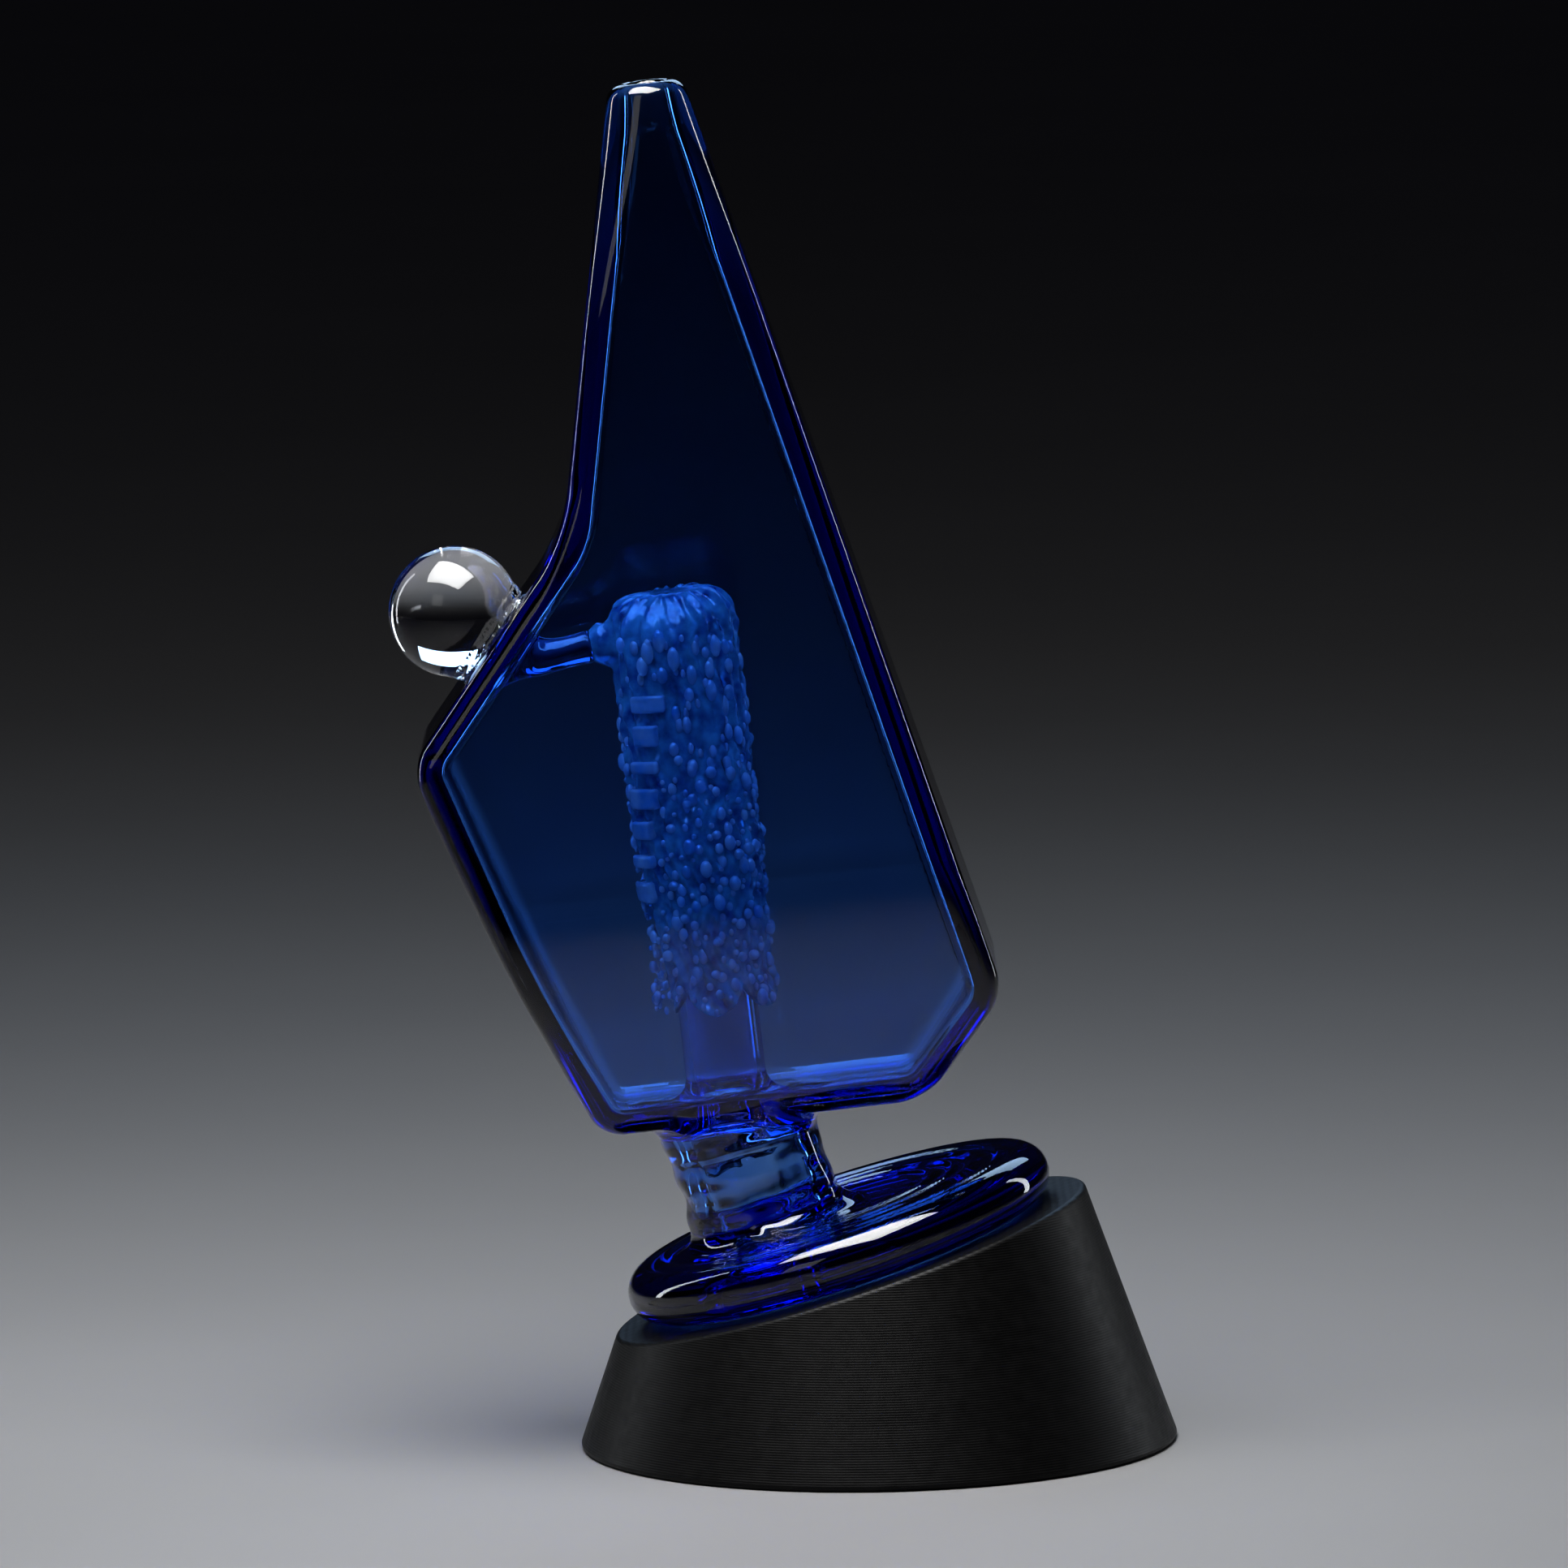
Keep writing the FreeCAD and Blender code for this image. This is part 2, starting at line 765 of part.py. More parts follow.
def along_brace(distance):
    """A frame on the brace's axis, that far from the wall, Z towards the sleeve."""
    return brace_frame * Placement(UP * distance, Rotation())


def make_brace_pad():
    cone = primitive(
        "Cone", "pad_cone", along_brace(-size("pad_reach")),
        Radius1="pad_radius", Radius2="brace_radius", Height="pad_reach + pad_length",
    )
    inner_wall = shoulder_frame * Placement(UP * -size("flask_wall"), Rotation())
    keep(cut("pad_cut", cone, half_space("wall_side", inner_wall)), "brace_pad", flask_frame)


def make_brace_rod():
    rod = primitive(
        "Cylinder", "brace_round", None,
        Radius="brace_radius", Height="rod_end - pad_length",
    )
    keep(rod, "brace_rod", flask_frame * along_brace(size("pad_length")))


def make_brace_knuckle():
    bulk = primitive(
        "Cylinder", "knuckle_round", along_brace(size("rod_end")),
        Radius="knuckle_radius", Height="knuckle_length",
    )
    sleeve_axis = Placement(Vector(size("uptake_shift"), 0, 0), Rotation())
    sleeve = primitive(
        "Cylinder", "sleeve_solid", sleeve_axis, Radius="sleeve_radius", Height="waste",
    )
    keep(cut("knuckle_cut", bulk, sleeve), "brace_knuckle", flask_frame)


def on_shoulder(rise):
    """A frame under the marble, that far above the shoulder's outer face, Z outward."""
    return shoulder_frame * Placement(Vector(-size("marble_along"), 0, rise), Rotation())


def make_marble_weld():
    seam = primitive(
        "Cone", "weld_cone", None,
        Radius1="marble_weld_radius", Radius2="marble_seam_radius", Height="marble_weld_height",
    )
    keep(seam, "marble_weld", flask_frame * on_shoulder(0))


def make_marble():
    ball = primitive("Sphere", "ball", on_shoulder(size("marble_rise")), Radius="marble_radius")
    turned_over = Placement(Vector(0, 0, 0), Rotation(ACROSS, 180))
    below = on_shoulder(size("marble_weld_height")) * turned_over
    keep(cut("ball_cut", ball, half_space("shoulder_side", below)), "marble", flask_frame)


# ---------------------------------------------------------------- build and write

def check_and_write():
    for thing in doc.Objects:
        if "Invalid" in thing.State or "Error" in thing.State:
            raise RuntimeError(f"{thing.Label} failed: {thing.State}")
    for part in parts:
        if part.Shape.isNull() or not part.Shape.isValid() or not part.Shape.Solids:
            raise RuntimeError(f"{part.Label} has no valid solid")
    os.makedirs("parts", exist_ok=True)
    for part in parts:
        part.Shape.exportStep(f"parts/{part.Label}.step")
        print(f"{part.Label}: {part.Shape.Volume:.1f} mm3, {len(part.Shape.Solids)} solid(s)")


make_stand_body()
make_seat_ring()
make_foot_disc()
make_foot_weld()
make_neck_tube()
make_neck_weld()
make_body_shell()
make_mouth_lip()
make_uptake_tube()
make_uptake_weld()
make_percolator_sleeve()
make_percolator_dome()
make_percolator_skirt()
make_percolator_rungs()
make_percolator_beads()
make_brace_pad()
make_brace_rod()
make_brace_knuckle()
make_marble_weld()
make_marble()
doc.recompute()
check_and_write()
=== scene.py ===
"""Glass water bubbler on its display stand: the looks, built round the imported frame.

Shapes are signed distance fields in millimetres, turned into meshes in metres: a field is
negative inside its shape and positive outside. The glass that a glassblower fuses into one
piece is one closed mesh here too, because a seam inside glass shows.
"""

import json
import math

import bmesh
import bpy
import numpy as np
import openvdb
from mathutils import Matrix, Vector


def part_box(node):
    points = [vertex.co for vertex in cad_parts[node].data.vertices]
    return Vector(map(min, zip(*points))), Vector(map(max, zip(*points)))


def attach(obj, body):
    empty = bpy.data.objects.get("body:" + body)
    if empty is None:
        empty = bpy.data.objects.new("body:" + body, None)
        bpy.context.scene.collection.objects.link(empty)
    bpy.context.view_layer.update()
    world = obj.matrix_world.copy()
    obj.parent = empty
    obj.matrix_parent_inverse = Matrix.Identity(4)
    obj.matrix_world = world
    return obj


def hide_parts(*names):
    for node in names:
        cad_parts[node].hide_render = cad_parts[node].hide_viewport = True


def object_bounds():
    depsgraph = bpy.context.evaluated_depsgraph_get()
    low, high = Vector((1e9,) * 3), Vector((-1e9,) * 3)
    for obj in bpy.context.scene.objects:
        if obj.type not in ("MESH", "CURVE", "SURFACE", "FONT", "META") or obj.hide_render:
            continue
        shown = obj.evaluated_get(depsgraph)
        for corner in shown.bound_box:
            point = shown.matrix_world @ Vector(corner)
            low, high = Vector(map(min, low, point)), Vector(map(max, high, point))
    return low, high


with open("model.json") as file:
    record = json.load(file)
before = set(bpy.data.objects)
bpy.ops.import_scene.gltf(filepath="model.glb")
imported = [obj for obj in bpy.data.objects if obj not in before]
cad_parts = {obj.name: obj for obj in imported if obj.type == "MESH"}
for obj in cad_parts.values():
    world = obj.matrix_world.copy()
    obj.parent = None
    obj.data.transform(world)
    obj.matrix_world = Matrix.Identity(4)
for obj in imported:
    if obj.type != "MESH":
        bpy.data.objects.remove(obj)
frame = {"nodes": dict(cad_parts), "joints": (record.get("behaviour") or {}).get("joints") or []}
cad_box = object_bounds()

MM = 0.001
RANDOM_SEED = 11

# ---------------------------------------------------------------- sizes, in millimetres
#
# A SEAL is the radius of the fillet where two pieces of glass are fused, a BLEND is the same
# between two hollows, and an EDGE is the radius of a rounded edge. A SPAN is the two heights
# or radii between which something comes or goes.

RING_THICKNESS = 1.1

# Separate pieces of glass stay this far apart, because two glass faces in one place show as a
# seam.
JOINT_GAP = 0.03

FOOT_RADIUS = 25.75
FOOT_THICKNESS = 6.4
FOOT_RIM = 3.15
FOOT_RING_HEIGHT = 0.12
FOOT_RING_RATE = 2.2
FOOT_RING_WANDER = 1.6
FOOT_RINGS_IN_SPAN = (9.0, 13.0)
FOOT_RINGS_OUT_SPAN = (21.5, 24.0)
INLET_RADIUS = 5.0
INLET_REACH = 3.0

NECK_SHIFT = 7.2
NECK_LENGTH = 14.0
NECK_RADIUS = 9.3
NECK_WAIST = 0.55
NECK_WOBBLE = 0.5
NECK_EDGE = 0.2
NECK_START = 1.0
NECK_BORE = 6.7
BORE_WOBBLE = 0.4
BORE_EDGE = 0.8
BORE_FLOOR = 0.6
BORE_ROOF = 0.3
FLASK_SEAL = 2.6
FOOT_SEAL = 2.4

FLASK_LEAN = 5.5
WALL = 2.8
FLOOR_LEFT = (-15.5, 0.0)
FLOOR_RIGHT = (22.5, 0.0)
RIGHT_BREAK = (33.0, 11.9)
TIP_RIGHT = (8.6, 119.0)
TIP_LEFT = (-0.9, 119.0)
BEND = (-11.7, 70.0)
SHOULDER = (-32.3, 46.0)
LEFT_BREAK = (-23.4, 18.0)
TIP_HEIGHT = 119.0
TIP_DEPTH = 9.5
TIP_ROUND_SPAN = (TIP_HEIGHT - 26.0, TIP_HEIGHT - 2.0)
LIP_HEIGHT = 1.9
LIP_EDGE = 1.5
GIRDLE_DEPTH = 35.0
GIRDLE_HEIGHT = 20.0
FLOOR_DEPTH = 20.0
OUTER_CORNER = 2.6
CREASE = 4.0
OUTER_RIM = 2.4
INNER_EDGE = 1.2
MOUTH_RADIUS = 2.1
MOUTH_DEPTH = 3.0
MOUTH_BLEND = 1.0
MOUTH_EDGE = 0.9

UPTAKE_SHIFT = -0.4
UPTAKE_RADIUS = 4.7
UPTAKE_BORE = 3.7
UPTAKE_BORE_REACH = 3.0
UPTAKE_START = 2.0
UPTAKE_TOP = 54.0
UPTAKE_EDGE = 0.4
UPTAKE_SEAL = 2.6
BORE_BLEND = 1.6
PORT_EDGE = 0.45
BORE_OVERRUN = 1.0

SLEEVE_RADIUS = 7.2
SLEEVE_BORE = 5.9
SLEEVE_EDGE = 0.35
SLEEVE_TAPER = 0.55
TAPER_SPAN = (16.0, 34.0)
FOLD_DEPTH = 0.6
STREAK_DEPTH = 0.25
STREAK_GAIN = 1.0
GRAIN_DEPTH = 0.75
GRAIN_LOSS = 0.25
STREAK_SPAN = (34.0, 50.0)
DOME_TOP = 61.7
DOME_WALL = 1.5
DOME_EDGE = 3.6
DOME_INNER_EDGE = 2.4
DOME_SMOOTH_SPAN = (1.5, 6.0)
DOME_WRINKLE = 0.5
FACET_TURN = math.radians(-104)
FACET_RISE = math.radians(38)
FACET_DEPTH = 1.1
FACET_EDGE = 1.2
SKIRT_BOTTOM = 12.8
SKIRT_FLARE = 0.9
FLARE_SPAN = (SKIRT_BOTTOM - 1.0, SKIRT_BOTTOM + 5.0)
LOBE_HEIGHT = 3.3
LOBE_WAVES = 3
LOBE_ROUNDNESS = 0.7
SKIRT_EDGE = 0.4
NOTCH_TURN = math.radians(-163)
NOTCH_HEIGHT = 25.6
NOTCH_RADIUS = 1.7
NOTCH_EDGE = 0.4

RUNG_TOP = 49.5
RUNG_PITCH = 3.7
RUNG_COUNT = 7
RUNG_TURN = math.radians(-121)
RUNG_TWIST = math.radians(1.6)
RUNG_HALF_HEIGHT = 0.62
RUNG_HALF_WIDTH = 1.5
RUNG_VARIES = 0.3
RUNG_PROUD = 0.5
RUNG_EDGE = 0.4

BEAD_COLUMNS = 29
BEAD_ROWS = 31
BEAD_PITCH = 1.42
BEAD_SHAKE = 0.42
BEAD_SMALLEST = 0.3
BEAD_SIZE_RANGE = 0.5
BEAD_SIZE_POWER = 1.7
BEAD_STRETCH = (0.85, 1.5)
BEAD_STRETCH_GAIN = 0.5
BEAD_START = 1.0
BEAD_MISSING = 0.08
BEAD_MISSING_GAIN = 0.4
BEAD_THIN_SPAN = (36.0, 50.0)
BEAD_FLATNESS = 0.8
BEAD_PROUD = 0.15
LADDER_CLEARANCE = 2.1
LADDER_OVERRUN = 2.0
NOTCH_CLEARANCE = 1.8
KNUCKLE_CLEARANCE = 3.4

BRACE_START = (-20.2, 55.2)
BRACE_RISE = 6.3
BRACE_RADIUS = 1.95
BRACE_LENGTH = 10.2
BRACE_WAVE = 0.12
BRACE_WAVE_RATE = 0.8
BRACE_SEAL = 3.4
KNUCKLE_HEIGHT = 56.6
KNUCKLE_RADIUS = 2.2
KNUCKLE_WAVE = 0.35
KNUCKLE_WAVE_RATE = 2.1
KNUCKLE_WAVE_START = 11.5
KNUCKLE_SEAL = 1.0

MARBLE_RADIUS = 7.65
MARBLE_ALONG = 14.8
MARBLE_RISE = 5.35
SEAM_RADIUS = 6.1
SEAM_HEIGHT = 0.7
SEAM_SEAL = 1.2
SEAM_EDGE = 0.12
BUBBLE_COUNT = 34
BUBBLE_SHAKE = 0.1
BUBBLE_AWAY = (4.6, 5.7)
BUBBLE_RISE = (0.35, 0.75)
BUBBLE_RADIUS = (0.07, 0.2)


# ---------------------------------------------------------------- frames

class Place:
    """A frame turned about Y: an origin (x, z) and a lean towards -X, in degrees."""

    def __init__(self, origin, lean):
        angle = math.radians(lean)
        self.x, self.z = origin
        self.cos = math.cos(angle)
        self.sin = math.sin(angle)
        self.lean = lean

    def local(self, x, z):
        """This frame's X and Z of points in the shared frame."""
        across = x - self.x
        up = z - self.z
        return across * self.cos + up * self.sin, up * self.cos - across * self.sin

    def world(self, x, z):
        """The shared frame's X and Z of a point in this frame."""
        return self.x + x * self.cos - z * self.sin, self.z + x * self.sin + z * self.cos


def seat_place():
    """The frame of the seat ring, from the swivel joint."""
    swivel = next(joint for joint in frame["joints"] if joint["name"] == "swivel")
    x, _, z = (value / MM for value in swivel["pos_m"])
    lean = math.degrees(math.atan2(-swivel["axis"][0], swivel["axis"][2]))
    return Place((x, z), lean)


seat = seat_place()
foot = Place(seat.world(0, RING_THICKNESS), seat.lean)
neck = Place(foot.world(-NECK_SHIFT, FOOT_THICKNESS), seat.lean)
flask = Place(neck.world(0, NECK_LENGTH), FLASK_LEAN)
brace = Place(flask.world(*BRACE_START), FLASK_LEAN + BRACE_RISE)
shoulder_slope = math.degrees(math.atan2(BEND[1] - SHOULDER[1], BEND[0] - SHOULDER[0]))
shoulder = Place(flask.world(*BEND), FLASK_LEAN + shoulder_slope)


# ---------------------------------------------------------------- field tools

def round_max(a, b, radius):
    """Both fields at once, with the edge between them rounded."""
    outside = np.hypot(np.maximum(a + radius, 0), np.maximum(b + radius, 0))
    return np.minimum(np.maximum(a, b), -radius) + outside


def round_min(a, b, radius):
    """Either field, with a round fillet between them."""
    return -round_max(-a, -b, radius)


def step_up(value, start, end):
    """From 0 to 1, smoothly, as the value goes from start to end."""
    share = np.clip((value - start) / (end - start), 0, 1)
    return share * share * (3 - 2 * share)


def beside(x, z, start, end):
    """The distance of points to the right of the line from start to end."""
    run_x = end[0] - start[0]
    run_z = end[1] - start[1]
    return ((x - start[0]) * run_z - (z - start[1]) * run_x) / math.hypot(run_x, run_z)


def wobble(turn, z, waves, amount):
    """A hand-worked unevenness round an axis: a sum of waves (times round, per mm, phase)."""
    total = 0
    for around, along, phase in waves:
        total = total + np.sin(around * turn + along * z + phase)
    return total * (amount / len(waves))


def random_waves(seed, count, around, along):
    """Waves for wobble(), between two counts round the axis and up to a rate along it."""
    random = np.random.default_rng(seed)
    waves = []
    for _ in range(count):
        times_round = int(random.integers(*around))
        rate = random.uniform(-along, along)
        waves.append((times_round, rate, random.uniform(0, 2 * math.pi)))
    return tuple(waves)


NECK_WAVES = ((1, 1.15, 1.2), (2, 0.7, 0.4), (0, 1.5, 2.1), (5, 0.1, 4.0), (9, 0.16, 5.1))
BORE_WAVES = ((1, -0.9, 1.4), (0, 1.9, 0.3), (7, 0.12, 3.3), (11, -0.1, 2.6))
FOOT_WAVES = ((2, 0.9, 0.3), (3, -0.7, 1.9), (1, 1.3, 4.4))
FOLDS = random_waves(RANDOM_SEED, count=12, around=(3, 9), along=0.6)
STREAKS = random_waves(RANDOM_SEED + 2, count=12, around=(9, 24), along=0.45)
GRAIN = random_waves(RANDOM_SEED + 3, count=14, around=(12, 32), along=3.0)


# ---------------------------------------------------------------- the fused cobalt glass

def outline_field(x, z, inset, corner):
    """The flask's outline, with its walls moved in by the inset and its corners rounded."""
    right = beside(x, z, RIGHT_BREAK, TIP_RIGHT) + inset
    right_foot = beside(x, z, FLOOR_RIGHT, RIGHT_BREAK) + inset
    floor = beside(x, z, FLOOR_LEFT, FLOOR_RIGHT) + inset
    left_foot = beside(x, z, LEFT_BREAK, FLOOR_LEFT) + inset
    left = beside(x, z, SHOULDER, LEFT_BREAK) + inset
    slope = beside(x, z, BEND, SHOULDER) + inset
    tip_side = beside(x, z, TIP_LEFT, BEND) + inset
    field = round_min(slope, tip_side, corner)
    for edge in (left, left_foot, floor, right_foot, right):
        field = round_max(field, edge, corner)
    return field


def face_field(y, z, inset):
    """The flask's front and back faces, deepest at the girdle, moved in by the inset."""
    widest = GIRDLE_DEPTH / 2
    above = (widest - TIP_DEPTH / 2) / (TIP_HEIGHT - GIRDLE_HEIGHT)
    below = (widest - FLOOR_DEPTH / 2) / GIRDLE_HEIGHT
    rise = z - GIRDLE_HEIGHT
    upper = (np.abs(y) - widest + rise * above) / math.hypot(1, above)
    lower = (np.abs(y) - widest - rise * below) / math.hypot(1, below)
    return round_max(upper + inset, lower + inset, CREASE)


def flask_outside(x, y, z):
    """The flask as a solid, in its own frame. Its rim grows to a full round at the tip."""
    rim = OUTER_RIM + (TIP_DEPTH / 2 - OUTER_RIM) * step_up(z, *TIP_ROUND_SPAN)
    solid = round_max(outline_field(x, z, 0, OUTER_CORNER), face_field(y, z, 0), rim)
    return round_max(solid, z - TIP_HEIGHT - LIP_HEIGHT, LIP_EDGE)


def flask_chamber(x, y, z):
    """The hollow inside the flask and its mouth, in the flask's frame."""
    edge = INNER_EDGE + (TIP_DEPTH / 2 - WALL - INNER_EDGE) * step_up(z, *TIP_ROUND_SPAN)
    chamber = round_max(outline_field(x, z, WALL, INNER_EDGE), face_field(y, z, WALL), edge)
    mouth_x = (TIP_LEFT[0] + TIP_RIGHT[0]) / 2
    mouth = np.hypot(x - mouth_x, y) - MOUTH_RADIUS
    mouth = np.maximum(mouth, TIP_HEIGHT - MOUTH_DEPTH - z)
    return round_min(chamber, mouth, MOUTH_BLEND)


def foot_field(x, y, z):
    """The foot: a thick disc with a full round rim and worked rings on its upper face."""
    across, up = foot.local(x, z)
    radius = np.hypot(across, y)
    turn = np.arctan2(y, across)
    half = FOOT_THICKNESS / 2
    rings = np.sin(radius * FOOT_RING_RATE + wobble(turn, radius, FOOT_WAVES, FOOT_RING_WANDER))
    worked = step_up(radius, *FOOT_RINGS_IN_SPAN) * (1 - step_up(radius, *FOOT_RINGS_OUT_SPAN))
    on_top = step_up(up, half - 1, half + 1)
    level = up - half - FOOT_RING_HEIGHT * rings * worked * on_top
    return round_max(radius - FOOT_RADIUS, np.abs(level) - half, FOOT_RIM)


def neck_field(x, y, z):
    """The neck as a solid: waisted, with uneven rings, from the foot to the flask's floor."""
    across, up = neck.local(x, z)
    waist = NECK_WAIST * np.cos((up / NECK_LENGTH - 0.5) * math.pi)
    radius = NECK_RADIUS - waist + wobble(np.arctan2(y, across), up, NECK_WAVES, NECK_WOBBLE)
    stem = round_max(np.hypot(across, y) - radius, flask.local(x, z)[1] - WALL / 2, NECK_EDGE)
    return np.maximum(stem, NECK_START - foot.local(x, z)[1])


def uptake_field(x, y, z):
    """The uptake tube as a solid, in the flask's frame."""
    middle = (UPTAKE_TOP + UPTAKE_START) / 2
    half = (UPTAKE_TOP - UPTAKE_START) / 2
    away = np.hypot(x - UPTAKE_SHIFT, y)
    return round_max(away - UPTAKE_RADIUS, np.abs(z - middle) - half, UPTAKE_EDGE)


def rod_field(x, y, z):
    """The brace's rod, from the shoulder's wall to the knuckle."""
    along, up = brace.local(x, z)
    rod = np.hypot(up, y) - BRACE_RADIUS + BRACE_WAVE * np.cos(along * BRACE_WAVE_RATE)
    return np.maximum(rod, np.abs(along - BRACE_LENGTH / 2) - BRACE_LENGTH / 2)


def air_passage(x, y, z):
    """The bore, from the foot's inlet through the neck to the top of the uptake tube."""
    across, up = neck.local(x, z)
    flask_x, flask_z = flask.local(x, z)
    away = np.hypot(across, y)
    wave = wobble(np.arctan2(y, across), up, BORE_WAVES, BORE_WOBBLE)
    room = round_max(away - NECK_BORE - wave, flask_z + BORE_ROOF, BORE_EDGE)
    room = round_max(room, BORE_FLOOR - up, BORE_EDGE)
    inlet = np.maximum(away - INLET_RADIUS, up - INLET_REACH)
    uptake_away = np.hypot(flask_x - UPTAKE_SHIFT, y)
    uptake = np.maximum(uptake_away - UPTAKE_BORE, -UPTAKE_BORE_REACH - flask_z)
    bore = round_min(round_min(room, inlet, BORE_EDGE), uptake, BORE_BLEND)
    return np.maximum(bore, flask_z - UPTAKE_TOP - BORE_OVERRUN)


def glass_field(x, y, z):
    """The fused cobalt glass: flask, mouth, neck, foot, uptake tube and brace."""
    flask_x, flask_z = flask.local(x, z)
    solid = round_min(flask_outside(flask_x, y, flask_z), neck_field(x, y, z), FLASK_SEAL)
    solid = round_min(solid, foot_field(x, y, z), FOOT_SEAL)
    glass = round_max(solid, -flask_chamber(flask_x, y, flask_z), MOUTH_EDGE)
    glass = round_min(glass, uptake_field(flask_x, y, flask_z), UPTAKE_SEAL)
    glass = round_min(glass, rod_field(x, y, z), BRACE_SEAL)
    return round_max(glass, -air_passage(x, y, z), PORT_EDGE)


# ---------------------------------------------------------------- the percolator and the marble

def round_sleeve(x, y, z):
    """X across, height, distance from and angle round the sleeve's axis."""
    flask_x, up = flask.local(x, z)
    across = flask_x - UPTAKE_SHIFT
    return across, up, np.hypot(across, y), np.arctan2(y, across)


def turned_from(turn, place):
    """The angle from a place round the sleeve, from -pi to pi."""
    return (turn - place + math.pi) % (2 * math.pi) - math.pi


def sleeve_taper(up):
    """How much narrower than its top the sleeve is at a height. It flares again at the skirt."""
    narrow = SLEEVE_TAPER * (1 - step_up(up, *TAPER_SPAN))
    flare = SKIRT_FLARE * (1 - step_up(up, *FLARE_SPAN))
    return narrow - flare


def sleeve_wrinkle(turn, up):
    """The sleeve's skin: broad folds, long streaks near the dome and a fine grain below."""
    high_up = step_up(up, *STREAK_SPAN)
    folds = wobble(turn, up, FOLDS, FOLD_DEPTH)
    streaks = wobble(turn, up, STREAKS, STREAK_DEPTH + STREAK_GAIN * high_up)
    grain = wobble(turn, up, GRAIN, GRAIN_DEPTH - GRAIN_LOSS * high_up)
    return folds + streaks + grain


def skirt_edge(turn):
    """The height of the skirt's lobed lower edge."""
    lobes = np.abs(np.cos(LOBE_WAVES * (turn + math.pi / 2))) ** LOBE_ROUNDNESS
    return SKIRT_BOTTOM + LOBE_HEIGHT * (1 - lobes)


def facet_field(across, y, up):
    """The space behind the flat facet on the dome's left front."""
    level = math.cos(FACET_RISE)
    normal = (level * math.cos(FACET_TURN), level * math.sin(FACET_TURN), math.sin(FACET_RISE))
    dome = normal[2] * (DOME_TOP - DOME_EDGE) + level * (SLEEVE_RADIUS - DOME_EDGE) + DOME_EDGE
    return normal[0] * across + normal[1] * y + normal[2] * up - (dome - FACET_DEPTH)


def notch_field(across, y, up):
    """The round notch in the sleeve's left side."""
    from_x = across - SLEEVE_RADIUS * math.cos(NOTCH_TURN)
    from_y = y - SLEEVE_RADIUS * math.sin(NOTCH_TURN)
    return np.sqrt(from_x ** 2 + from_y ** 2 + (up - NOTCH_HEIGHT) ** 2) - NOTCH_RADIUS


def knuckle_field(x, y, z):
    """The knuckle at the brace's end, before it is cut to length: a wavy round bar."""
    along, up = brace.local(x, z)
    wave = KNUCKLE_WAVE * np.cos((along - KNUCKLE_WAVE_START) * KNUCKLE_WAVE_RATE)
    return np.hypot(up, y) - KNUCKLE_RADIUS - wave


def percolator_field(x, y, z):
    """The percolator: a domed and wrinkled sleeve with a lobed skirt, a notch and a knuckle."""
    across, up, away, turn = round_sleeve(x, y, z)
    taper = sleeve_taper(up)
    wrinkle = sleeve_wrinkle(turn, up) * step_up(away, *DOME_SMOOTH_SPAN)
    outer = round_max(
        away - SLEEVE_RADIUS + taper - wrinkle, up - DOME_TOP - wrinkle * DOME_WRINKLE, DOME_EDGE
    )
    outer = round_max(outer, -notch_field(across, y, up), NOTCH_EDGE)
    outer = round_max(outer, facet_field(across, y, up), FACET_EDGE)
    inner = round_max(away - SLEEVE_BORE + taper, up - DOME_TOP + DOME_WALL, DOME_INNER_EDGE)
    body = round_max(outer, -inner, SLEEVE_EDGE)
    body = round_max(body, skirt_edge(turn) - up, SKIRT_EDGE)
    knuckle = np.maximum(np.maximum(knuckle_field(x, y, z), -inner), across)
    body = round_min(body, knuckle, KNUCKLE_SEAL)
    return np.maximum(body, BRACE_LENGTH + JOINT_GAP - brace.local(x, z)[0])


def rung_turn(up):
    """Where the ladder is, round the sleeve: it winds towards the left side going down."""
    return RUNG_TURN - RUNG_TWIST * (RUNG_TOP - up)


def rung_field(x, y, z):
    """The ladder of flat blocks down the sleeve's left front, no two quite the same size."""
    _, up, away, turn = round_sleeve(x, y, z)
    number = np.clip(np.round((RUNG_TOP - up) / RUNG_PITCH), 0, RUNG_COUNT - 1)
    middle = RUNG_TOP - number * RUNG_PITCH
    half_height = RUNG_HALF_HEIGHT + RUNG_VARIES * np.sin(number * 2.3)
    half_width = RUNG_HALF_WIDTH + RUNG_VARIES * np.sin(number * 4.1 + 1.0)
    along = np.abs(up - middle) - half_height
    sideways = np.abs(turned_from(turn, rung_turn(middle)) * SLEEVE_RADIUS) - half_width
    proud = np.abs(away - SLEEVE_RADIUS + sleeve_taper(up)) - RUNG_PROUD
    outside = np.sqrt(
        np.maximum(along, 0) ** 2 + np.maximum(sideways, 0) ** 2 + np.maximum(proud, 0) ** 2
    )
    inside = np.minimum(np.maximum(np.maximum(along, sideways), proud), 0)
    return outside + inside - RUNG_EDGE


def marble_field(x, y, z):
    """The marble, with its flared seam on the shoulder."""
    along, up = shoulder.local(x, z)
    away = np.hypot(along + MARBLE_ALONG, y)
    ball = np.sqrt(away ** 2 + (up - MARBLE_RISE) ** 2) - MARBLE_RADIUS
    seam = np.maximum(away - SEAM_RADIUS, up - SEAM_HEIGHT)
    return round_max(round_min(ball, seam, SEAM_SEAL), JOINT_GAP - up, SEAM_EDGE)


# ---------------------------------------------------------------- fields to meshes

def slope_of(field, points):
    """The field's value and gradient at points."""
    reach = 0.01
    x, y, z = points.T
    value = field(x, y, z)
    parts = [
        field(x + reach, y, z) - field(x - reach, y, z),
        field(x, y + reach, z) - field(x, y - reach, z),
        field(x, y, z + reach) - field(x, y, z - reach),
    ]
    return value, np.stack(parts, axis=1) / (2 * reach)


